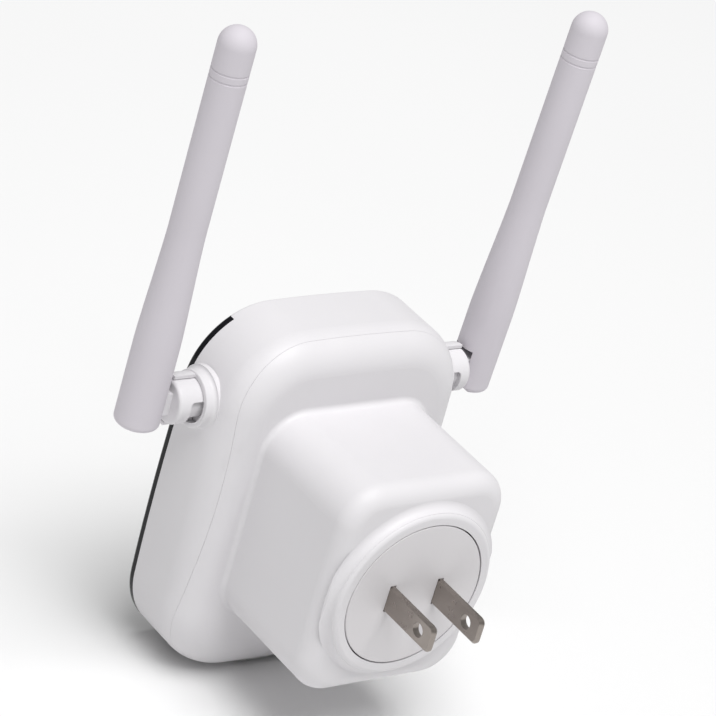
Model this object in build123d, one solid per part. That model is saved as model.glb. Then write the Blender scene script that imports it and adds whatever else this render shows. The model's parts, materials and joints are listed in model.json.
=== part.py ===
from build123d import *
import os

# Wall-plug wifi range extender with two hinged antennas.
# Millimetres. Origin: centre of the plug disc's outer face. +Y points out of the rear along the blades,
# +Z is up and +X is the left side as seen from behind.
# Every left-hand hinge part is mirrored in the YZ plane to make the right-hand one.

# ---- casing ----
HALF_W = 31.2            # half width of the body at mid height
HALF_H = 42.05           # half height of the body on the centre line
MID_Z = -0.65            # height of the body's centre
SIDE_BOW = 1.4           # how far the long sides bow out
END_BOW = 1.15           # how far the top and bottom bow out
CORNER_R = 18.0
FRONT_Y = -52.8          # front edge of the casing, behind the front panel
BODY_REAR_Y = -34.0      # rear face of the body
REAR_EDGE_R = 7.5        # soft edge round the rear face
WALL = 2.0
FRONT_WALL = 1.5
SEAM_GAP = 0.06          # parting line between the casing halves
SEAM_TOP_Y = -39.3       # parting line at the top, at its rearmost and at the bottom
SEAM_MID_Y = -35.6
SEAM_BOTTOM_Y = -41.6
SEAM_INSET = 3.5         # the rear casing keeps the rear wall inside this inset of the outline
POST_R = 2.3
VENT_XS = (-18.8, -16.2, -13.6, -11.0, 18.2, 20.8)
VENT_W = 1.2

# ---- front panel ----
PANEL_FRONT_Y = -54.8
PANEL_EDGE_R = 0.9
BROW_Z = 38.0            # the black panel stops here and the casing's brow begins
BROW_GAP = 0.12

# ---- plug housing on the rear ----
BUMP_HALF_W = 21.5
BUMP_HALF_H = 25.5
BUMP_CORNER_R = 9.0
BUMP_REAR_Y = -2.6
BUMP_EDGE_R = 4.0
RING_R = 20.0            # raised ring round the plug disc
RING_FOOT_R = 2.0
DISC_R = 17.1
DISC_GAP = 0.3
DISC_T = 3.0
SPIGOT_R = 14.8
LEDGE_R = 15.0

# ---- mains blades ----
BLADE_T = 1.52
BLADE_W = 6.35
BLADE_PITCH = 12.7
BLADE_OUT = 15.87
BLADE_IN = 12.0
BLADE_HOLE_R = 1.6
BLADE_HOLE_Y = 11.3

# ---- antenna hinge ----
HINGE_Y = -47.5          # axis of the swivel
HINGE_Z = 22.9
SOCKET_R = 6.3           # outside of the round socket on each side of the casing
SOCKET_X = 33.3
SOCKET_FOOT_R = 0.8      # soft foot where the socket meets the casing's side
CUP_R = 5.2              # inside of the socket's cup
CUP_X = 31.3
DRUM_R = 5.0
DRUM_END_X = 39.0
JOURNAL_R = 2.8
JOURNAL_FIT = 0.05
JOURNAL_X = 25.8
PAD_X = 27.6             # flat seat inside the casing wall
GUARD_X = 38.6           # half sleeve in front of the drum
GUARD_R = 5.95
CLIP_T = 0.6
CLIP_X = 26.75
CLIP_R = 3.5             # outside of the clip that holds the journal
CLIP_GROOVE_R = 2.2
FEED_R = 1.2             # bore for the coaxial lead
COAX_R = 0.6
TONGUE_T = 5.4
PIN_X = 45.3
PIN_Z = 22.9
PIN_R = 1.1
PIN_FIT = 0.05
TONGUE_R = 2.6
STOP_DEPTH = 1.1
STOP_TOP_Z = HINGE_Z + 2.0   # the stop groove ends here on both sides of the drum
STOP_LENGTH = 2.9

# ---- antennas ----
ANT_X = 44.6
ANT_Y = -48.8            # the antenna stands slightly in front of the swivel axis
ANT_BOTTOM_Z = 17.4
ANT_TOP_Z = 109.7
ANT_LOW_R = 4.95
ANT_TOP_R = 4.02
FLARE_LOW_Z = 36.0
FLARE_TOP_Z = 64.0
CAP_Z = 98.4             # joint between sleeve and cap
GROOVE_Z = 100.15
GROOVE_R = 0.32          # round-bottomed grooves
GROOVE_D = 0.16
SLOT_W = 5.8
SLOT_CEILING_Z = 27.4
EAR_SWEEP_R = 6.1        # the ears' inner lower corner clears the drum inside this radius
ANT_BORE_R = 2.7
RIGHT_LEAN = 2.2         # the right antenna stands a little outwards

# ---- boards ----
BOARD_T = 1.2
MAIN_Y = -49.6           # front face of the main board
MAIN_HALF_W = 25.0
MAIN_BOTTOM_Z = -38.5
MAIN_TOP_Z = 36.5
MAIN_REAR_Y = MAIN_Y + BOARD_T
NOTCH_X = 19.5           # the board is notched beside each hinge for the coaxial lead
NOTCH_LOW_Z = 16.5
NOTCH_TOP_Z = 29.5
POWER_Y = -34.6
POWER_REAR_Y = POWER_Y + 1.6
POWER_HALF_W = 17.8
POWER_HALF_H = 21.5
MAIN_SCREWS = ((-17.0, 33.0), (17.0, 33.0), (-21.0, -20.0), (21.0, -20.0))
POWER_SCREWS = ((-15.6, -12.4), (15.6, -12.4))
SCREW_R = 0.78
SCREW_HEAD_R = 1.9
SCREW_HEAD_T = 1.3

# ---- network socket ----
JACK_HALF_W = 8.0
JACK_H = 10.9
JACK_MOUTH_Z = -41.9
JACK_TOP_Z = -25.0
JACK_SHELL_T = 0.4
JACK_CAVITY_HALF_W = 6.0
JACK_CAVITY_Y0 = MAIN_REAR_Y + 1.0
JACK_CAVITY_Y1 = MAIN_REAR_Y + 8.4
JACK_CAVITY_TOP_Z = -28.0

# ---- buttons ----
WPS_Y = -46.6
WPS_Z = -6.0
WPS_PROUD = 0.7
RESET_X = 14.5
RESET_Y = -46.0
RESET_HOLE_R = 1.0
RESET_SWITCH_Z = -36.5   # underside of the reset switch
RESET_STEM_R = 0.8
LED_Z = 22.0
LED_PITCH = 6.0
LED_COUNT = 4

MIRROR = Plane.YZ


# ---------- helpers ----------
def at_y(y):
    """Plane at depth y whose sketch axes are world X and Z; extruding goes towards the front."""
    return Plane(origin=(0, y, 0), x_dir=(1, 0, 0), z_dir=(0, -1, 0))


def slab(sketch, y0, y1):
    """Sketch in X and Z made solid from depth y0 to y1."""
    return extrude(at_y(max(y0, y1)) * sketch, amount=abs(y1 - y0))


def block(x0, x1, y0, y1, z0, z1):
    return Pos((x0 + x1) / 2, (y0 + y1) / 2, (z0 + z1) / 2) * Box(abs(x1 - x0), abs(y1 - y0), abs(z1 - z0))


def rod_x(radius, x0, x1, y, z):
    return Pos((x0 + x1) / 2, y, z) * Rot(0, 90, 0) * Cylinder(radius, abs(x1 - x0))


def rod_y(radius, y0, y1, x, z):
    return Pos(x, (y0 + y1) / 2, z) * Rot(90, 0, 0) * Cylinder(radius, abs(y1 - y0))


def rod_z(radius, z0, z1, x, y):
    return Pos(x, y, (z0 + z1) / 2) * Cylinder(radius, abs(z1 - z0))


def rounded_block(x0, x1, y0, y1, z0, z1, radius, axis):
    solid = block(x0, x1, y0, y1, z0, z1)
    return fillet(solid.edges().filter_by(axis), radius)


def flipped(solid):
    return mirror(solid, about=MIRROR)


def joined(solids):
    return Compound(children=list(solids))


def body_outline(inset=0.0):
    """Front view of the body: four bowed sides and round corners."""
    w = HALF_W - inset
    h = HALF_H - inset
    cx = w - SIDE_BOW
    cz = h - END_BOW
    right = ThreePointArc((cx, MID_Z - cz), (w, MID_Z), (cx, MID_Z + cz))
    top = ThreePointArc((cx, MID_Z + cz), (0, MID_Z + h), (-cx, MID_Z + cz))
    left = ThreePointArc((-cx, MID_Z + cz), (-w, MID_Z), (-cx, MID_Z - cz))
    bottom = ThreePointArc((-cx, MID_Z - cz), (0, MID_Z - h), (cx, MID_Z - cz))
    face = make_face(right + top + left + bottom)
    return fillet(face.vertices(), CORNER_R - inset)


def body_block(inset, y0, y1, edge_r):
    solid = slab(body_outline(inset), y0, y1)
    rear = solid.faces().sort_by(Axis.Y)[-1]
    return fillet(rear.edges(), edge_r)


def bump_block(inset, y0, y1, edge_r):
    outline = RectangleRounded(2 * (BUMP_HALF_W - inset), 2 * (BUMP_HALF_H - inset), BUMP_CORNER_R - inset)
    solid = slab(outline, y0, y1)
    rear = solid.faces().sort_by(Axis.Y)[-1]
    return fillet(rear.edges(), edge_r)


def front_region(offset):
    """All space in front of the arched parting surface, moved rearwards by offset."""
    top_z = MID_Z + HALF_H + 5
    low_z = MID_Z - HALF_H - 5
    top_y = SEAM_TOP_Y + offset
    low_y = SEAM_BOTTOM_Y + offset
    seam = ThreePointArc((low_y, low_z), (SEAM_MID_Y + offset, MID_Z + 4), (top_y, top_z))
    far = Polyline((top_y, top_z), (-70, top_z), (-70, low_z), (low_y, low_z))
    side_plane = Plane(origin=(-60, 0, 0), x_dir=(0, 1, 0), z_dir=(1, 0, 0))
    return extrude(side_plane * make_face(seam + far), amount=120)


def rear_column(inset):
    """Space inside the outline, behind the front wall, that belongs to the rear casing."""
    return slab(body_outline(inset), FRONT_Y + FRONT_WALL, 0)


def casing_shell():
    outer = body_block(0, FRONT_Y, BODY_REAR_Y, REAR_EDGE_R)
    inner = body_block(WALL, FRONT_Y + FRONT_WALL, BODY_REAR_Y - WALL, REAR_EDGE_R - WALL)
    return outer - inner


# ---------- casing ----------
def antenna_socket():
    """Round socket on the left side, with a pad inside the wall and a half sleeve in front of the drum."""
    outer = rod_x(SOCKET_R, PAD_X, SOCKET_X, HINGE_Y, HINGE_Z)
    outer = fillet(outer.faces().sort_by(Axis.X)[-1].edges(), 0.3)
    sleeve = rod_x(GUARD_R, SOCKET_X - 0.5, GUARD_X, HINGE_Y, HINGE_Z)
    sleeve -= block(SOCKET_X, GUARD_X + 1, HINGE_Y, HINGE_Y + 20, HINGE_Z - 20, HINGE_Z + 20)
    return outer + sleeve + socket_foot()


def socket_foot():
    """Hollow-curved foot round the socket, running out on the casing's side."""
    base_x = HALF_W - 0.35
    reach = SOCKET_FOOT_R
    mid = reach * (1 - 2 ** -0.5)
    corner = (SOCKET_R - 1, base_x + reach)
    start = (SOCKET_R, base_x + reach)
    end = (SOCKET_R + reach, base_x)
    curve = ThreePointArc(start, (SOCKET_R + mid, base_x + mid), end)
    rest = Polyline(end, (SOCKET_R + reach, PAD_X + 2), (SOCKET_R - 1, PAD_X + 2), corner, start)
    profile = Plane(origin=(0, HINGE_Y, HINGE_Z), x_dir=(0, 1, 0), z_dir=(0, 0, -1)) * make_face(curve + rest)
    return revolve(profile, axis=Axis((0, HINGE_Y, HINGE_Z), (1, 0, 0)))


def panel_space():
    """Room for the front panel, which the sockets must not enter."""
    return slab(body_outline(-0.15), PANEL_FRONT_Y - 2, FRONT_Y)


def socket_bores():
    """Cup for the drum and bearing bore for the journal."""
    cup = rod_x(CUP_R, CUP_X, GUARD_X + 1, HINGE_Y, HINGE_Z)
    bearing = rod_x(JOURNAL_R + JOURNAL_FIT, PAD_X - 1, CUP_X + 1, HINGE_Y, HINGE_Z)
    return cup + bearing


def stop_lug():
    """Lug at the bottom of the socket that limits the swivel."""
    low_z = HINGE_Z - CUP_R - 0.3
    return block(SOCKET_X - 1.6, SOCKET_X, HINGE_Y - 0.6, HINGE_Y + 0.6, low_z, HINGE_Z - DRUM_R + 0.8)


def jack_window():
    return block(-JACK_HALF_W - 0.2, JACK_HALF_W + 0.2, MAIN_REAR_Y - 0.2, MAIN_REAR_Y + JACK_H + 0.2,
                 MID_Z - HALF_H - 2, MID_Z - HALF_H + WALL + 2)


def vents():
    """Round-ended slots in the underside, either side of the network socket."""
    low_z = MID_Z - HALF_H - 2
    return [rounded_block(x - VENT_W / 2, x + VENT_W / 2, -50.0, -43.5, low_z, low_z + WALL + 5, 0.5, Axis.Z)
            for x in VENT_XS]


def wps_opening(gap):
    opening = block(-HALF_W - 3, -HALF_W + WALL + 3, WPS_Y - 2.0 - gap, WPS_Y + 2.0 + gap,
                    WPS_Z - 4.5 - gap, WPS_Z + 4.5 + gap)
    return fillet(opening.edges().filter_by(Axis.X), 1.8)


def make_front_casing():
    casing = casing_shell() & front_region(0)
    casing -= rear_column(SEAM_INSET)
    brow = slab(body_outline(), PANEL_FRONT_Y, FRONT_Y + 0.4)
    brow = fillet(brow.faces().sort_by(Axis.Y)[0].edges(), PANEL_EDGE_R)
    casing += brow & block(-40, 40, -60, FRONT_Y + 0.4, BROW_Z + BROW_GAP, 60)
    socket = antenna_socket() - panel_space()
    socket &= block(PAD_X, GUARD_X, PANEL_FRONT_Y, 0, -60, 60)
    bores = socket_bores()
    casing += socket + flipped(socket)
    casing -= bores + flipped(bores)
    casing += stop_lug() + flipped(stop_lug())
    for x, z in MAIN_SCREWS:
        casing += rod_y(POST_R, FRONT_Y + FRONT_WALL - 0.2, MAIN_Y, x, z)
        casing -= rod_y(SCREW_R + 0.02, FRONT_Y + 0.5, MAIN_Y + 1, x, z)
    for i in range(LED_COUNT):
        casing -= rod_y(1.1, FRONT_Y - 4, FRONT_Y + FRONT_WALL + 1, led_x(i), LED_Z)
    casing -= jack_window()
    casing -= wps_opening(0.15)
    casing -= rod_z(RESET_HOLE_R, MID_Z - HALF_H - 3, MID_Z - HALF_H + WALL + 2, RESET_X, RESET_Y)
    for slot in vents():
        casing -= slot
    return casing


def make_rear_casing():
    body = casing_shell() - (front_region(SEAM_GAP) - rear_column(SEAM_INSET + SEAM_GAP))
    bump = bump_block(0, BODY_REAR_Y - 1.5, BUMP_REAR_Y, BUMP_EDGE_R)
    casing = body + bump
    base = [e for e in casing.edges() if is_base_edge(e)]
    casing = fillet(base, 1.2)
    ring = rod_y(RING_R, BUMP_REAR_Y - 4, 0, 0, 0)
    ring = fillet(ring.faces().sort_by(Axis.Y)[-1].edges(), 1.1)
    casing += ring
    casing += ring_foot()
    hollow = bump_block(WALL, BODY_REAR_Y - WALL - 1.0, BUMP_REAR_Y - WALL, 2.5)
    casing -= hollow
    backing = rod_y(RING_R - 0.8, BUMP_REAR_Y - WALL - 1.4, BUMP_REAR_Y - 0.5, 0, 0)
    casing += backing & bump_block(1.0, -20, BUMP_REAR_Y - 0.3, 3.5)
    casing -= rod_y(DISC_R + DISC_GAP, -DISC_T - 0.1, 1, 0, 0)
    casing -= rod_y(LEDGE_R, -15, 1, 0, 0)
    for x, z in POWER_SCREWS:
        casing += rod_y(POST_R - 0.4, POWER_REAR_Y, BUMP_REAR_Y - WALL + 0.2, x, z)
        casing -= rod_y(SCREW_R + 0.02, POWER_REAR_Y - 1, POWER_REAR_Y + 3.5, x, z)
    casing -= jack_window()
    return casing


def ring_foot():
    """Hollow-curved foot round the ring, running out on the plug housing's rear face."""
    reach = RING_FOOT_R
    mid = reach * (1 - 2 ** -0.5)
    base_y = BUMP_REAR_Y - 0.02
    curve = ThreePointArc((RING_R, base_y + reach), (RING_R + mid, base_y + mid), (RING_R + reach, base_y))
    rest = Polyline((RING_R + reach, base_y), (RING_R - 1, base_y - 1.5), (RING_R - 1, base_y + reach),
                    (RING_R, base_y + reach))
    foot = revolve(Plane.XY * make_face(curve + rest), axis=Axis.Y)
    return foot & bump_block(0, BODY_REAR_Y, BUMP_REAR_Y + 2.5, BUMP_EDGE_R)


def is_base_edge(edge):
    """Edges where the plug housing meets the body's rear face."""
    box = edge.bounding_box()
    flat = abs(box.min.Y - BODY_REAR_Y) < 0.01 and abs(box.max.Y - BODY_REAR_Y) < 0.01
    inside = max(abs(box.min.X), abs(box.max.X)) < BUMP_HALF_W + 0.1
    return flat and inside and max(abs(box.min.Z), abs(box.max.Z)) < BUMP_HALF_H + 0.1


def make_front_panel():
    panel = slab(body_outline(), PANEL_FRONT_Y, FRONT_Y)
    panel = fillet(panel.faces().sort_by(Axis.Y)[0].edges(), PANEL_EDGE_R)
    panel &= block(-40, 40, -60, 0, -60, BROW_Z)
    for i in range(LED_COUNT):
        panel -= rod_y(0.85, PANEL_FRONT_Y - 1, FRONT_Y + 1, led_x(i), LED_Z)
    return panel


def make_light_guide():
    """Clear bar behind the front wall with one pin to each window."""
    half = led_x(LED_COUNT - 1) + 2.0
    bar = rounded_block(-half, half, FRONT_Y + FRONT_WALL + 0.05, FRONT_Y + FRONT_WALL + 0.65,
                        LED_Z - 1.8, LED_Z + 1.8, 1.7, Axis.Y)
    for i in range(LED_COUNT):
        bar += rod_y(0.8, PANEL_FRONT_Y + 0.1, FRONT_Y + FRONT_WALL + 0.2, led_x(i), LED_Z)
    return bar


def led_x(i):
    return (i - (LED_COUNT - 1) / 2) * LED_PITCH


# ---------- plug ----------
def make_plug_disc():
    disc = rod_y(DISC_R, -DISC_T, 0, 0, 0)
    disc = chamfer(disc.faces().sort_by(Axis.Y)[-1].edges(), 0.15)
    disc += rod_y(SPIGOT_R, -6.5, -DISC_T, 0, 0)
    disc += rounded_block(-10.0, 10.0, -9.5, -6.0, -5.5, 5.5, 2.0, Axis.Y)
    for side in (-1, 1):
        disc -= blade_block(side, 0.03, -BLADE_IN - 1, 2)
    return disc


def blade_block(side, gap, y0, y1):
    x = side * BLADE_PITCH / 2
    return block(x - BLADE_T / 2 - gap, x + BLADE_T / 2 + gap, y0, y1, -BLADE_W / 2 - gap, BLADE_W / 2 + gap)


def make_blade(side):
    blade = blade_block(side, 0, -BLADE_IN, BLADE_OUT)
    tip = blade.faces().sort_by(Axis.Y)[-1]
    blade = fillet(tip.edges().filter_by(Axis.X), 1.5)
    tip = blade.faces().sort_by(Axis.Y)[-1]
    blade = chamfer(tip.edges().filter_by(Axis.Z), 0.5)
    x = side * BLADE_PITCH / 2
    blade -= rod_x(BLADE_HOLE_R, x - 2, x + 2, BLADE_HOLE_Y, 0)
    blade -= rod_x(0.8, x - 2, x + 2, -BLADE_IN + 1.5, 0)
    return blade


def make_blade_lead(side):
    """Insulated wire from the blade's solder tab down to the power board."""
    x = side * (BLADE_PITCH / 2 + 1.6)
    end_x = side * 13.0
    path = FilletPolyline((x, -BLADE_IN + 2, 0), (x, -18.5, 0), (end_x, -22.0, 15.0),
                          (end_x, POWER_REAR_Y, 15.0), radius=3.0)
    start = Plane(origin=path @ 0, z_dir=path % 0)
    return sweep(start * Circle(0.75), path=path)


# ---------- boards and what is on them ----------
def make_main_board():
    mid = (MAIN_TOP_Z + MAIN_BOTTOM_Z) / 2
    outline = Pos(0, mid) * RectangleRounded(2 * MAIN_HALF_W, MAIN_TOP_Z - MAIN_BOTTOM_Z, 12)
    board = slab(outline, MAIN_Y, MAIN_REAR_Y)
    for x, z in MAIN_SCREWS:
        board -= rod_y(1.1, MAIN_Y - 1, MAIN_REAR_Y + 1, x, z)
    notch = rounded_block(NOTCH_X, MAIN_HALF_W + 5, MAIN_Y - 1, MAIN_REAR_Y + 1,
                          NOTCH_LOW_Z, NOTCH_TOP_Z, 1.0, Axis.Y)
    return board - notch - flipped(notch)


def make_power_board():
    board = slab(RectangleRounded(2 * POWER_HALF_W, 2 * POWER_HALF_H, 6), POWER_Y, POWER_REAR_Y)
    for x, z in POWER_SCREWS:
        board -= rod_y(1.1, POWER_Y - 1, POWER_REAR_Y + 1, x, z)
    return board


def make_board_header():
    """Pin header that carries low voltage from the power board to the main board."""
    base = block(-5.0, 5.0, MAIN_REAR_Y, MAIN_REAR_Y + 2.5, 12.0, 14.5)
    for i in range(4):
        x = -3.81 + 2.54 * i
        base += block(x - 0.32, x + 0.32, MAIN_REAR_Y + 2.0, POWER_Y, 12.93, 13.57)
    return base


def board_screw(x, seat_y, z, head_side):
    """Cross-head screw seated on a board; its head points along head_side and its shank the other way."""
    top_y = seat_y + head_side * SCREW_HEAD_T
    deep_y = seat_y + head_side * (SCREW_HEAD_T - 0.5)
    head = rod_y(SCREW_HEAD_R, seat_y, top_y, x, z)
    head = fillet(head.faces().sort_by(Axis.Y)[-1 if head_side > 0 else 0].edges(), 0.5)
    slot = block(x - 1.2, x + 1.2, deep_y, top_y + head_side, z - 0.2, z + 0.2)
    cross = block(x - 0.2, x + 0.2, deep_y, top_y + head_side, z - 1.2, z + 1.2)
    return head + rod_y(SCREW_R, seat_y - head_side * 3.5, seat_y, x, z) - slot - cross


def make_board_screws():
    screws = [board_screw(x, MAIN_REAR_Y, z, 1) for x, z in MAIN_SCREWS]
    screws += [board_screw(x, POWER_Y, z, -1) for x, z in POWER_SCREWS]
    return joined(screws)


def make_transformer_core():
    """Ferrite E core round the winding."""
    core = block(-7.0, 6.0, POWER_REAR_Y + 0.6, POWER_REAR_Y + 12.6, -6.5, 6.5)
    core -= block(-8.0, 7.0, POWER_REAR_Y + 3.0, POWER_REAR_Y + 10.2, -4.6, -2.2)
    core -= block(-8.0, 7.0, POWER_REAR_Y + 3.0, POWER_REAR_Y + 10.2, 2.2, 4.6)
    return core


def make_transformer_winding():
    y0 = POWER_REAR_Y + 3.1
    y1 = POWER_REAR_Y + 10.1
    bobbin = rounded_block(-9.2, 8.2, y0, y1, -4.5, 4.5, 1.0, Axis.Y)
    bobbin -= block(-7.1, 6.1, y0 - 1, y1 + 1, -2.3, 2.3)
    bobbin -= block(-7.05, 6.05, y0 - 1, y1 + 1, 4.4, 6)
    return bobbin


def make_bulk_capacitors():
    cans = []
    for x in (-9.5, 0.5):
        can = rod_y(4.0, POWER_REAR_Y, POWER_REAR_Y + 12.0, x, -14.0)
        can = fillet(can.faces().sort_by(Axis.Y)[-1].edges(), 0.6)
        groove = rod_y(4.1, POWER_REAR_Y + 1.6, POWER_REAR_Y + 2.2, x, -14.0)
        groove -= rod_y(3.7, POWER_REAR_Y + 1.6, POWER_REAR_Y + 2.2, x, -14.0)
        cans.append(can - groove)
    return joined(cans)


def make_output_capacitor():
    can = rod_y(3.15, POWER_REAR_Y, POWER_REAR_Y + 9.0, 12.4, 4.0)
    return fillet(can.faces().sort_by(Axis.Y)[-1].edges(), 0.5)


def make_fuse_resistor():
    body = rod_z(1.6, 10.5, 18.5, 4.5, POWER_REAR_Y + 2.0)
    body = fillet(body.edges(), 0.6)
    body += rod_z(0.35, 8.6, 11, 4.5, POWER_REAR_Y + 2.0)
    body += rod_z(0.35, 18, 20.2, 4.5, POWER_REAR_Y + 2.0)
    body += rod_y(0.35, POWER_REAR_Y, POWER_REAR_Y + 2.0, 4.5, 8.9)
    body += rod_y(0.35, POWER_REAR_Y, POWER_REAR_Y + 2.0, 4.5, 19.9)
    return body


def make_bridge_rectifier():
    body = block(-4.0, 0.8, POWER_REAR_Y + 0.2, POWER_REAR_Y + 2.6, 10.5, 17.0)
    body = fillet(body.edges().filter_by(Axis.Y), 0.4)
    for x in (-3.0, -0.2):
        body += block(x - 0.4, x + 0.4, POWER_REAR_Y, POWER_REAR_Y + 0.5, 9.6, 17.9)
    return body


def make_power_controller():
    body = block(8.5, 12.4, POWER_REAR_Y + 0.15, POWER_REAR_Y + 1.65, -9.0, -4.1)
    for i in range(4):
        z = -8.5 + 1.27 * i
        body += block(7.5, 13.4, POWER_REAR_Y, POWER_REAR_Y + 0.3, z - 0.2, z + 0.2)
    return body


def chip(x, z, w, h, t, leads):
    """Flat package on the main board with a row of leads on two sides."""
    body = block(x - w / 2, x + w / 2, MAIN_REAR_Y + 0.1, MAIN_REAR_Y + t, z - h / 2, z + h / 2)
    body = chamfer(body.faces().sort_by(Axis.Y)[-1].edges(), 0.15)
    for i in range(leads):
        lz = z + (i - (leads - 1) / 2) * (h - 0.8) / (leads - 1)
        body += block(x - w / 2 - 0.8, x + w / 2 + 0.8, MAIN_REAR_Y, MAIN_REAR_Y + 0.2, lz - 0.14, lz + 0.14)
    return body


def make_rf_shield():
    can = rounded_block(-13.0, 13.0, MAIN_REAR_Y, MAIN_REAR_Y + 2.4, 17.0, 34.0, 1.2, Axis.Y)
    can -= block(-12.7, 12.7, MAIN_REAR_Y - 1, MAIN_REAR_Y + 2.1, 17.3, 33.7)
    for x in (-8.0, -4.0, 0.0, 4.0, 8.0):
        can -= rod_y(0.6, MAIN_REAR_Y + 1.5, MAIN_REAR_Y + 3, x, 25.5)
    return can


def make_clock_crystal():
    can = rounded_block(-15.6, -12.4, MAIN_REAR_Y, MAIN_REAR_Y + 1.0, 6.0, 8.5, 0.5, Axis.Y)
    return fillet(can.faces().sort_by(Axis.Y)[-1].edges(), 0.2)


def make_status_leds():
    leds = []
    for i in range(LED_COUNT):
        x = led_x(i)
        leds.append(block(x - 0.8, x + 0.8, MAIN_Y - 0.6, MAIN_Y, LED_Z - 0.4, LED_Z + 0.4))
    return joined(leds)


# ---------- network socket ----------
def make_rj45_shell():
    y0 = MAIN_REAR_Y
    y1 = MAIN_REAR_Y + JACK_H
    shell = block(-JACK_HALF_W, JACK_HALF_W, y0, y1, JACK_MOUTH_Z, JACK_TOP_Z)
    t = JACK_SHELL_T
    return shell - block(-JACK_HALF_W + t, JACK_HALF_W - t, y0 - 1, y1 - t, JACK_MOUTH_Z - 1, JACK_TOP_Z - t)


def make_rj45_insert():
    y0 = MAIN_REAR_Y
    y1 = MAIN_REAR_Y + JACK_H - JACK_SHELL_T - 0.03
    half = JACK_HALF_W - JACK_SHELL_T - 0.03
    body = block(-half, half, y0 + 0.05, y1, JACK_MOUTH_Z + 0.3, JACK_TOP_Z - JACK_SHELL_T - 0.03)
    body -= block(-JACK_CAVITY_HALF_W, JACK_CAVITY_HALF_W, JACK_CAVITY_Y0, JACK_CAVITY_Y1,
                  JACK_MOUTH_Z - 1, JACK_CAVITY_TOP_Z)
    body -= block(-3.1, 3.1, JACK_CAVITY_Y1 - 1, JACK_CAVITY_Y1 + 1.4, JACK_MOUTH_Z - 1, JACK_CAVITY_TOP_Z - 3)
    return body


def make_rj45_contacts():
    """Eight sprung wires along the cavity's front wall."""
    wires = []
    for i in range(8):
        x = (i - 3.5) * 1.02
        wires.append(block(x - 0.22, x + 0.22, JACK_CAVITY_Y0 + 0.02, JACK_CAVITY_Y0 + 0.5,
                           -38.5, JACK_CAVITY_TOP_Z - 0.02))
    return joined(wires)


# ---------- buttons ----------
def make_wps_button():
    outer_x = -HALF_W - WPS_PROUD
    inner_x = -HALF_W + WALL
    cap = block(outer_x, inner_x + 0.4, WPS_Y - 2.0, WPS_Y + 2.0, WPS_Z - 4.5, WPS_Z + 4.5)
    cap = fillet(cap.edges().filter_by(Axis.X), 1.7)
    cap = fillet(cap.faces().sort_by(Axis.X)[0].edges(), 0.4)
    flange = block(inner_x + 0.25, inner_x + 1.0, WPS_Y - 2.7, WPS_Y + 2.7, WPS_Z - 5.3, WPS_Z + 5.3)
    post = rod_x(1.0, inner_x + 0.9, -MAIN_HALF_W, WPS_Y, WPS_Z)
    return cap + flange + post


def make_wps_switch():
    """Side-press switch on the board's edge, with its plunger facing the button's post."""
    edge_x = -MAIN_HALF_W
    body = block(edge_x + 0.8, edge_x + 4.2, MAIN_REAR_Y, MAIN_REAR_Y + 3.6, WPS_Z - 3.0, WPS_Z + 3.0)
    body = fillet(body.edges().filter_by(Axis.X), 0.3)
    return body + rod_x(0.9, edge_x + 0.4, edge_x + 1, WPS_Y, WPS_Z)


def make_reset_button():
    """Plunger of the reset switch: a round head over the pinhole and a stem inside the switch."""
    head_z = RESET_SWITCH_Z - 0.4
    head = rod_z(1.4, head_z - 1.4, head_z, RESET_X, RESET_Y)
    head = fillet(head.faces().sort_by(Axis.Z)[0].edges(), 0.3)
    return head + rod_z(RESET_STEM_R, head_z - 0.2, RESET_SWITCH_Z + 1.2, RESET_X, RESET_Y)


def make_reset_switch():
    body = block(RESET_X - 2.2, RESET_X + 2.2, MAIN_REAR_Y, MAIN_REAR_Y + 4.6,
                 RESET_SWITCH_Z, RESET_SWITCH_Z + 3.0)
    body = fillet(body.edges().filter_by(Axis.Z), 0.3)
    return body - rod_z(RESET_STEM_R + 0.05, RESET_SWITCH_Z - 1, RESET_SWITCH_Z + 1.7, RESET_X, RESET_Y)


# ---------- antenna hinge, left side ----------
def make_knuckle():
    """Drum that turns in the casing's socket, its journal through the wall and the tongue for the antenna."""
    drum = rod_x(DRUM_R, CUP_X + 0.1, DRUM_END_X, HINGE_Y, HINGE_Z)
    drum = fillet(drum.faces().sort_by(Axis.X)[-1].edges(), 0.8)
    drum += rod_x(JOURNAL_R, JOURNAL_X, CUP_X + 0.2, HINGE_Y, HINGE_Z)
    outline = make_face(Polyline((DRUM_END_X - 1, PIN_Z - TONGUE_R), (DRUM_END_X - 1, PIN_Z + TONGUE_R),
                                 (PIN_X, PIN_Z + TONGUE_R), (PIN_X, PIN_Z - TONGUE_R), close=True))
    outline += Pos(PIN_X, PIN_Z) * Circle(TONGUE_R)
    tongue = slab(outline, ANT_Y - TONGUE_T / 2, ANT_Y + TONGUE_T / 2)
    knuckle = drum + tongue
    knuckle -= rod_x(FEED_R, JOURNAL_X - 1, DRUM_END_X + 1.5, HINGE_Y, HINGE_Z)
    knuckle -= rod_y(PIN_R + PIN_FIT, ANT_Y - 5, ANT_Y + 5, PIN_X, PIN_Z)
    knuckle -= clip_ring(CLIP_GROOVE_R, CLIP_X - 0.05, CLIP_X + CLIP_T + 0.05, JOURNAL_R + 1)
    knuckle -= stop_groove()
    return knuckle


def clip_ring(inner_r, x0, x1, outer_r):
    return rod_x(outer_r, x0, x1, HINGE_Y, HINGE_Z) - rod_x(inner_r, x0, x1, HINGE_Y, HINGE_Z)


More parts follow.
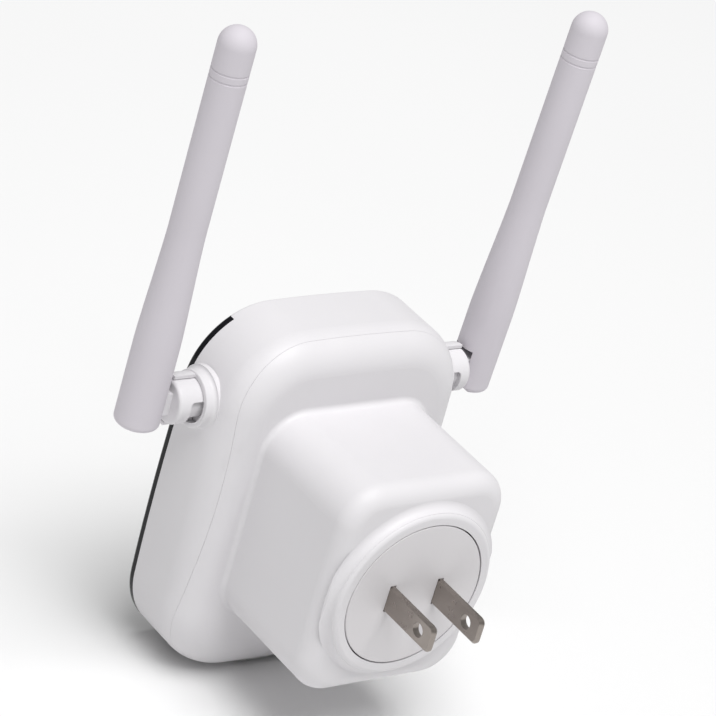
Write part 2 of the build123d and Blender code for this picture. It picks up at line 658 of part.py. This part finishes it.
def stop_groove():
    """Groove round the lower part of the drum, in which the socket's lug travels."""
    x1 = SOCKET_X + STOP_LENGTH
    ring = clip_ring(DRUM_R - STOP_DEPTH, SOCKET_X - 1.8, x1, DRUM_R + 1)
    low = block(SOCKET_X - 2, x1, HINGE_Y - 10, HINGE_Y + 10, HINGE_Z - 10, STOP_TOP_Z)
    low = fillet(low.edges().filter_by(Axis.Y).sort_by(Axis.X)[-2:], 0.9)
    return ring & low


def make_knuckle_clip():
    """Open spring clip in the journal's groove."""
    ring = clip_ring(CLIP_GROOVE_R + 0.03, CLIP_X, CLIP_X + CLIP_T, CLIP_R)
    return ring - block(CLIP_X - 1, CLIP_X + 2, HINGE_Y - 1.6, HINGE_Y + 1.6, HINGE_Z - 6, HINGE_Z)


def antenna_shell():
    """Turned outside shape of the sleeve: rounded foot, thick lower part, smooth flare and slim shaft."""
    edge = 1.3
    mid_edge = edge * (1 - 2 ** -0.5)
    base = Line((0, ANT_BOTTOM_Z), (ANT_LOW_R - edge, ANT_BOTTOM_Z))
    foot = ThreePointArc((ANT_LOW_R - edge, ANT_BOTTOM_Z), (ANT_LOW_R - mid_edge, ANT_BOTTOM_Z + mid_edge),
                         (ANT_LOW_R, ANT_BOTTOM_Z + edge))
    wall = Line((ANT_LOW_R, ANT_BOTTOM_Z + edge), (ANT_LOW_R, FLARE_LOW_Z))
    flare = Bezier((ANT_LOW_R, FLARE_LOW_Z), (ANT_LOW_R, FLARE_LOW_Z + 6),
                   (ANT_TOP_R, FLARE_TOP_Z - 6), (ANT_TOP_R, FLARE_TOP_Z))
    shaft = Polyline((ANT_TOP_R, FLARE_TOP_Z), (ANT_TOP_R, CAP_Z), (0, CAP_Z), (0, ANT_BOTTOM_Z))
    face = make_face(base + foot + wall + flare + shaft)
    return revolve(Pos(ANT_X, ANT_Y, 0) * Rot(90, 0, 0) * face, axis=Axis((ANT_X, ANT_Y, 0), (0, 0, 1)))


def antenna_slot():
    """Space for the knuckle's tongue, open to the inner side and the bottom."""
    reach = TONGUE_R + 0.25
    ceiling = SLOT_CEILING_Z
    low_z = ANT_BOTTOM_Z - 5
    outline = make_face(Polyline((ANT_X - 10, low_z), (PIN_X + reach, low_z), (PIN_X + reach, ceiling),
                                 (ANT_X - 10, ceiling), close=True))
    corner = outline.vertices().sort_by(Axis.X)[-2:].sort_by(Axis.Y)[-1]
    outline = fillet(corner, 2.4)
    return slab(outline, ANT_Y - SLOT_W / 2, ANT_Y + SLOT_W / 2)


def ear_corner_cut():
    """Material outside the sweep radius at the ears' inner lower corner."""
    corner = block(PIN_X - 12, PIN_X, ANT_Y - 8, ANT_Y + 8, PIN_Z - 12, PIN_Z)
    return corner - rod_y(EAR_SWEEP_R, ANT_Y - 9, ANT_Y + 9, PIN_X, PIN_Z)


def groove(z):
    centre_r = ANT_TOP_R + GROOVE_R - GROOVE_D
    return Pos(ANT_X, ANT_Y, z) * Torus(centre_r, GROOVE_R)


def make_antenna_sleeve():
    sleeve = antenna_shell()
    sleeve -= rod_z(ANT_BORE_R, SLOT_CEILING_Z + 3.0, CAP_Z + 1, ANT_X, ANT_Y)
    sleeve -= rod_z(0.7, SLOT_CEILING_Z - 1, SLOT_CEILING_Z + 4, ANT_X - 1.5, ANT_Y)
    sleeve -= antenna_slot()
    sleeve -= ear_corner_cut()
    sleeve -= rod_y(PIN_R, ANT_Y - 4.2, ANT_Y + 4.2, PIN_X, PIN_Z)
    sleeve -= groove(CAP_Z)
    return sleeve


def make_antenna_cap():
    """Domed cap with a plug that presses into the sleeve."""
    dome_z = ANT_TOP_Z - ANT_TOP_R
    cap = rod_z(ANT_TOP_R, CAP_Z, dome_z, ANT_X, ANT_Y) + Pos(ANT_X, ANT_Y, dome_z) * Sphere(ANT_TOP_R)
    cap -= groove(CAP_Z)
    cap -= groove(GROOVE_Z)
    cap += rod_z(ANT_BORE_R - 0.05, CAP_Z - 3, CAP_Z + 0.5, ANT_X, ANT_Y)
    return cap - rod_z(1.2, CAP_Z - 4, CAP_Z + 6, ANT_X, ANT_Y)


def make_hinge_pin():
    return rod_y(PIN_R, ANT_Y - 4.2, ANT_Y + 4.2, PIN_X, PIN_Z)


def make_radiator():
    """Sleeve dipole: a brass tube round the feed and a rod above it."""
    tube = rod_z(2.3, 36, 62, ANT_X, ANT_Y) - rod_z(2.0, 35, 61.6, ANT_X, ANT_Y)
    rod = rod_z(0.6, SLOT_CEILING_Z + 3.4, 97, ANT_X, ANT_Y)
    return tube + rod


def make_coax():
    """Lead from the main board into the knuckle's bore."""
    lead_y = MAIN_REAR_Y + 2.9
    path = FilletPolyline((13.0, lead_y, 14.0), (18.5, lead_y, 14.0), (22.0, HINGE_Y, HINGE_Z),
                          (36.0, HINGE_Y, HINGE_Z), radius=2.5)
    start = Plane(origin=path @ 0, z_dir=path % 0)
    lead = sweep(start * Circle(COAX_R), path=path)
    plug = rod_y(1.3, MAIN_REAR_Y, MAIN_REAR_Y + 3.3, 13.0, 14.0)
    return lead + plug


def lean_right(solid):
    pin = Axis((-PIN_X, ANT_Y, PIN_Z), (0, 1, 0))
    return solid.rotate(pin, -RIGHT_LEAN)


# ---------- export ----------
os.makedirs("parts", exist_ok=True)

knuckle = make_knuckle()
clip = make_knuckle_clip()
sleeve = make_antenna_sleeve()
cap = make_antenna_cap()
pin = make_hinge_pin()
radiator = make_radiator()
coax = make_coax()

NODES = {
    "front_panel": make_front_panel(),
    "light_guide": make_light_guide(),
    "front_casing": make_front_casing(),
    "rear_casing": make_rear_casing(),
    "plug_disc": make_plug_disc(),
    "blade_left": make_blade(1),
    "blade_right": make_blade(-1),
    "blade_lead_left": make_blade_lead(1),
    "blade_lead_right": make_blade_lead(-1),
    "main_board": make_main_board(),
    "power_board": make_power_board(),
    "board_header": make_board_header(),
    "board_screws": make_board_screws(),
    "transformer_core": make_transformer_core(),
    "transformer_winding": make_transformer_winding(),
    "bulk_capacitors": make_bulk_capacitors(),
    "output_capacitor": make_output_capacitor(),
    "fuse_resistor": make_fuse_resistor(),
    "bridge_rectifier": make_bridge_rectifier(),
    "power_controller": make_power_controller(),
    "router_chip": chip(0, 2.5, 10.0, 10.0, 1.2, 16),
    "memory_chip": chip(14.5, -6.0, 5.2, 5.2, 1.6, 4),
    "ethernet_transformer": chip(0, -17.0, 9.5, 12.6, 5.5, 8),
    "rf_shield": make_rf_shield(),
    "clock_crystal": make_clock_crystal(),
    "status_leds": make_status_leds(),
    "rj45_shell": make_rj45_shell(),
    "rj45_insert": make_rj45_insert(),
    "rj45_contacts": make_rj45_contacts(),
    "wps_button": make_wps_button(),
    "wps_switch": make_wps_switch(),
    "reset_button": make_reset_button(),
    "reset_switch": make_reset_switch(),
    "knuckle_left": knuckle,
    "knuckle_right": flipped(knuckle),
    "knuckle_clip_left": clip,
    "knuckle_clip_right": flipped(clip),
    "antenna_sleeve_left": sleeve,
    "antenna_sleeve_right": lean_right(flipped(sleeve)),
    "antenna_cap_left": cap,
    "antenna_cap_right": lean_right(flipped(cap)),
    "hinge_pin_left": pin,
    "hinge_pin_right": lean_right(flipped(pin)),
    "radiator_left": radiator,
    "radiator_right": lean_right(flipped(radiator)),
    "coax_left": coax,
    "coax_right": flipped(coax),
}

for name, solid in NODES.items():
    export_step(solid, f"parts/{name}.step")
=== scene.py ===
import json
from math import cos, radians, sin

import bpy
from mathutils import Matrix, Vector


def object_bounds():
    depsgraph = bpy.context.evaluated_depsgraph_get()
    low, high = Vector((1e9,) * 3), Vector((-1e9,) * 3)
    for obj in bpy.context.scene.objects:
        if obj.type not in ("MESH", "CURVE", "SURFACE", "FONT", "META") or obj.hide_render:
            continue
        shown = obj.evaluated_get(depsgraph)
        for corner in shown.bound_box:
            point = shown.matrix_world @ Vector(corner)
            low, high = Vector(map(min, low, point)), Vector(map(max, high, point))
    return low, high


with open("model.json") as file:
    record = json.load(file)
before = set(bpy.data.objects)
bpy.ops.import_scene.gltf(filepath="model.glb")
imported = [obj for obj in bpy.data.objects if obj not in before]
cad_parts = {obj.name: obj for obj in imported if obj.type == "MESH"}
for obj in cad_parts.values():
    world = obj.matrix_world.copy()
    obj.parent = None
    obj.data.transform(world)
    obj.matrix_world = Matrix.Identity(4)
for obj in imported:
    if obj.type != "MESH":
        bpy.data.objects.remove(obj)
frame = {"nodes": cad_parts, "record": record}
CAD_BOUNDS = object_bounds()
MM = 0.001

# ---------- driving values ----------
# camera: direction, roll, distance and focal length of the photograph's view
AZIMUTH = radians(137.09)
ELEVATION = radians(27.146)
ROLL = radians(16.66)
DISTANCE = 749.618 * MM
SHIFT_R = 11.634 * MM          # where the object's origin lies across and up the view
SHIFT_U = -49.564 * MM
SENSOR = 36.0
FOCAL_PX = 3583.86
IMAGE_PX = 716.0

# studio: one soft lamp high behind the object, white surroundings and a sheet of pale paper
LAMP_PLACE = (0.45, 1.2, 4.0)
LAMP_SIZE = 3.0
LAMP_POWER = 184
LAMP_TARGET = (0, -0.03, 0.02)
WORLD_STRENGTH = 0.36
FLOOR_HALF = 9.0
FLOOR_GAP = 0.5 * MM           # the paper lies this far below the object
FLOOR_DARK = 0.81
FLOOR_LIGHT = 0.83

# plastic: grain of the mould's surface, and the faint swell of large walls
PLASTIC_GRAIN = 0.12
GRAIN_SCALE = 9000
GRAIN_HEIGHT = 0.03 * MM
SWELL_SCALE = 90
SWELL_HEIGHT = 0.2 * MM
SWELL_STRENGTH = 0.04
WEAR_SCALE = 45

# metal: drawn lines along the strip, with rolled dents below them and stains on top
LINE_SCALE = 160
LINE_HEIGHT = 0.06 * MM
DENT_SCALE = 500
DENT_HEIGHT = 0.1 * MM
STAIN_SCALE = 260

# laminate: copper tracks and the weave of the glass cloth
TRACK_SCALE = 260
TRACK_WIDTH = 0.03
WEAVE_SCALE = 1800
WEAVE_HEIGHT = 0.05 * MM


# ---------- camera ----------
def add_camera():
    back = Vector((sin(AZIMUTH) * cos(ELEVATION), -cos(AZIMUTH) * cos(ELEVATION), sin(ELEVATION)))
    right = Vector((0, 0, 1)).cross(back).normalized()
    up = back.cross(right)
    axis_r = cos(ROLL) * right + sin(ROLL) * up
    axis_u = -sin(ROLL) * right + cos(ROLL) * up
    camera = bpy.data.objects.new("camera", bpy.data.cameras.new("camera"))
    camera.data.sensor_width = SENSOR
    camera.data.lens = FOCAL_PX / IMAGE_PX * SENSOR
    camera.data.clip_start = 0.01
    camera.data.clip_end = 20
    rotation = Matrix((axis_r, axis_u, back)).transposed().to_4x4()
    place = back * DISTANCE - axis_r * SHIFT_R - axis_u * SHIFT_U
    camera.matrix_world = Matrix.Translation(place) @ rotation
    bpy.context.scene.collection.objects.link(camera)
    bpy.context.scene.camera = camera


# ---------- material building blocks ----------
class Graph:
    """Small helper round one material's node tree."""

    def __init__(self, name):
        self.material = bpy.data.materials.new(name)
        self.material.use_nodes = True
        self.tree = self.material.node_tree
        self.shader = self.tree.nodes["Principled BSDF"]
        self.coords = self.tree.nodes.new("ShaderNodeTexCoord").outputs["Object"]

    def node(self, kind):
        return self.tree.nodes.new(kind)

    def link(self, out, into):
        self.tree.links.new(out, into)

    def stretched(self, scale):
        mapping = self.node("ShaderNodeMapping")
        mapping.inputs["Scale"].default_value = scale
        self.link(self.coords, mapping.inputs["Vector"])
        return mapping.outputs["Vector"]

    def noise(self, scale, detail=4.0, rough=0.5, stretch=(1, 1, 1)):
        made = self.node("ShaderNodeTexNoise")
        made.inputs["Scale"].default_value = scale
        made.inputs["Detail"].default_value = detail
        made.inputs["Roughness"].default_value = rough
        self.link(self.stretched(stretch), made.inputs["Vector"])
        return made.outputs["Fac"]

    def spread(self, value, low, high, from_low=0.3, from_high=0.7):
        made = self.node("ShaderNodeMapRange")
        made.inputs["From Min"].default_value = from_low
        made.inputs["From Max"].default_value = from_high
        made.inputs["To Min"].default_value = low
        made.inputs["To Max"].default_value = high
        self.link(value, made.inputs["Value"])
        return made.outputs["Result"]

    def ramp(self, value, stops):
        made = self.node("ShaderNodeValToRGB")
        elements = made.color_ramp.elements
        while len(elements) < len(stops):
            elements.new(0.5)
        for element, (place, colour) in zip(elements, stops):
            element.position = place
            element.color = (*colour, 1)
        self.link(value, made.inputs["Fac"])
        return made.outputs["Color"]

    def bump(self, height, strength, distance, below=None):
        made = self.node("ShaderNodeBump")
        made.inputs["Strength"].default_value = strength
        made.inputs["Distance"].default_value = distance
        self.link(height, made.inputs["Height"])
        if below:
            self.link(below, made.inputs["Normal"])
        return made.outputs["Normal"]

    def set(self, **values):
        for key, value in values.items():
            socket = self.shader.inputs[key.replace("_", " ")]
            if hasattr(value, "is_linked"):
                self.link(value, socket)
            else:
                socket.default_value = value
        return self.material


def shade(colour, factor):
    return tuple(min(1.0, c * factor) for c in colour)


def moulded_plastic(name, colour, roughness, grain=PLASTIC_GRAIN, coat=0.0, specular=0.5, variation=0.02):
    """Injection-moulded plastic: spark-eroded grain, faint flow marks and handling wear on the gloss."""
    g = Graph(name)
    cloud = g.noise(28, 3)
    colours = g.ramp(cloud, [(0.3, shade(colour, 1 - variation)), (0.7, shade(colour, 1 + variation))])
    fine = g.noise(GRAIN_SCALE, 2, 0.6)
    swell = g.noise(SWELL_SCALE, 2)
    normal = g.bump(fine, grain, GRAIN_HEIGHT, g.bump(swell, SWELL_STRENGTH, SWELL_HEIGHT))
    gloss = g.spread(g.noise(WEAR_SCALE, 5, 0.65), roughness * 0.88, min(1, roughness * 1.12))
    return g.set(Base_Color=colours, Roughness=gloss, Normal=normal, Coat_Weight=coat, Coat_Roughness=0.12,
                 Specular_IOR_Level=specular)


def plated_metal(name, colour, roughness, grain_axis=(40, 1, 40), mark=0.12):
    """Rolled and plated metal: fine drawn lines, faint tarnish and rubbed patches."""
    g = Graph(name)
    lines = g.noise(LINE_SCALE, 6, 0.7, grain_axis)
    stain = g.noise(STAIN_SCALE, 4, 0.6)
    tarnished = shade(colour, 1 - mark)
    rubbed = shade(colour, 1 + mark)
    colours = g.ramp(stain, [(0.3, tarnished), (0.55, colour), (0.75, rubbed)])
    dents = g.bump(g.noise(DENT_SCALE, 3), 0.05, DENT_HEIGHT)
    normal = g.bump(lines, 0.12, LINE_HEIGHT, dents)
    gloss = g.spread(stain, roughness * 0.75, roughness * 1.3)
    return g.set(Base_Color=colours, Metallic=1.0, Roughness=gloss, Normal=normal)


def board_laminate(name, colour, trace):
    """Solder mask: rows of raised tracks in a second colour, over the ripple of woven glass."""
    g = Graph(name)
    cells = g.node("ShaderNodeTexBrick")
    cells.inputs["Scale"].default_value = TRACK_SCALE
    cells.inputs["Mortar Size"].default_value = TRACK_WIDTH
    cells.inputs["Color1"].default_value = (*colour, 1)
    cells.inputs["Color2"].default_value = (*shade(colour, 0.8), 1)
    cells.inputs["Mortar"].default_value = (*trace, 1)
    g.link(g.stretched((1, 1, 1)), cells.inputs["Vector"])
    normal = g.bump(g.noise(WEAVE_SCALE, 2), 0.15, WEAVE_HEIGHT)
    gloss = g.spread(g.noise(300), 0.3, 0.45)
    return g.set(Base_Color=cells.outputs["Color"], Roughness=gloss, Normal=normal)


# one entry for each material slot of the record; colours are linear
MATERIALS = {
    "casing_white": lambda n: moulded_plastic(n, (0.715, 0.701, 0.719), 0.48, 0.10, coat=0.03,
                                              specular=0.35),
    "disc_white": lambda n: moulded_plastic(n, (0.68, 0.662, 0.675), 0.48, 0.12, specular=0.35),
    "antenna_plastic": lambda n: moulded_plastic(n, (0.625, 0.595, 0.637), 0.6, 0.2, specular=0.3),
    "panel_gloss": lambda n: moulded_plastic(n, (0.005, 0.005, 0.007), 0.16, 0.01, specular=0.18,
                                             variation=0.2),
    "light_pipe": lambda n: moulded_plastic(n, (0.8, 0.83, 0.86), 0.15, 0.02),
    "blade_nickel": lambda n: plated_metal(n, (0.33, 0.295, 0.27), 0.30, (45, 1, 45), mark=0.015),
    "lead_insulation": lambda n: moulded_plastic(n, (0.03, 0.03, 0.03), 0.5),
    "circuit_board": lambda n: board_laminate(n, (0.02, 0.13, 0.05), (0.05, 0.24, 0.1)),
    "power_laminate": lambda n: board_laminate(n, (0.42, 0.27, 0.11), (0.3, 0.18, 0.07)),
    "part_black": lambda n: moulded_plastic(n, (0.02, 0.02, 0.021), 0.45, variation=0.15),
    "screw_steel": lambda n: plated_metal(n, (0.6, 0.6, 0.6), 0.3, (30, 30, 30)),
    "ferrite": lambda n: moulded_plastic(n, (0.035, 0.033, 0.032), 0.7, 0.5, variation=0.2),
    "winding_tape": lambda n: moulded_plastic(n, (0.75, 0.5, 0.06), 0.35, variation=0.1),
    "capacitor_sleeve": lambda n: moulded_plastic(n, (0.02, 0.025, 0.07), 0.25, variation=0.1),
    "resistor_body": lambda n: moulded_plastic(n, (0.12, 0.3, 0.22), 0.4, variation=0.1),
    "shield_steel": lambda n: plated_metal(n, (0.68, 0.68, 0.67), 0.3, (1, 25, 25)),
    "led_body": lambda n: moulded_plastic(n, (0.85, 0.8, 0.55), 0.2),
    "contact_gold": lambda n: plated_metal(n, (0.85, 0.62, 0.25), 0.2, (40, 40, 1)),
    "radiator_brass": lambda n: plated_metal(n, (0.72, 0.53, 0.22), 0.3, (40, 40, 1)),
    "coax_jacket": lambda n: moulded_plastic(n, (0.05, 0.05, 0.05), 0.5),
}


def dress_cad_nodes():
    """One material for each material slot of the record, shared by all its nodes."""
    slots = {entry["node"]: entry["material_slot"] for entry in frame["record"]["subparts"]}
    made = {}
    for name, obj in frame["nodes"].items():
        slot = slots[name]
        if slot not in made:
            made[slot] = MATERIALS[slot](slot)
        obj.data.materials.clear()
        obj.data.materials.append(made[slot])


# ---------- studio ----------
def add_lamp():
    data = bpy.data.lights.new("key", "AREA")
    data.shape = "SQUARE"
    data.size = LAMP_SIZE
    data.energy = LAMP_POWER
    lamp = bpy.data.objects.new("key", data)
    lamp.location = LAMP_PLACE
    aim = Vector(LAMP_TARGET) - Vector(LAMP_PLACE)
    lamp.rotation_euler = aim.to_track_quat("-Z", "Y").to_euler()
    bpy.context.scene.collection.objects.link(lamp)


def add_floor():
    z = CAD_BOUNDS[0][2] - FLOOR_GAP
    corners = [(x * FLOOR_HALF, y * FLOOR_HALF, z) for x, y in ((-1, -1), (1, -1), (1, 1), (-1, 1))]
    mesh = bpy.data.meshes.new("floor")
    mesh.from_pydata(corners, [], [(0, 1, 2, 3)])
    floor = bpy.data.objects.new("floor", mesh)
    bpy.context.scene.collection.objects.link(floor)
    g = Graph("floor_paper")
    dark = (FLOOR_DARK, FLOOR_DARK, FLOOR_DARK)
    light = (FLOOR_LIGHT, FLOOR_LIGHT, FLOOR_LIGHT)
    colours = g.ramp(g.noise(3, 2), [(0.3, dark), (0.7, light)])
    floor.data.materials.append(g.set(Base_Color=colours, Roughness=0.9, Specular_IOR_Level=0.1))


def add_world():
    world = bpy.data.worlds.new("world")
    world.use_nodes = True
    background = world.node_tree.nodes["Background"]
    background.inputs["Color"].default_value = (1, 1, 1, 1)
    background.inputs["Strength"].default_value = WORLD_STRENGTH
    bpy.context.scene.world = world


add_camera()
dress_cad_nodes()
add_floor()
add_world()
add_lamp()
bpy.context.scene.view_settings.view_transform = "Standard"
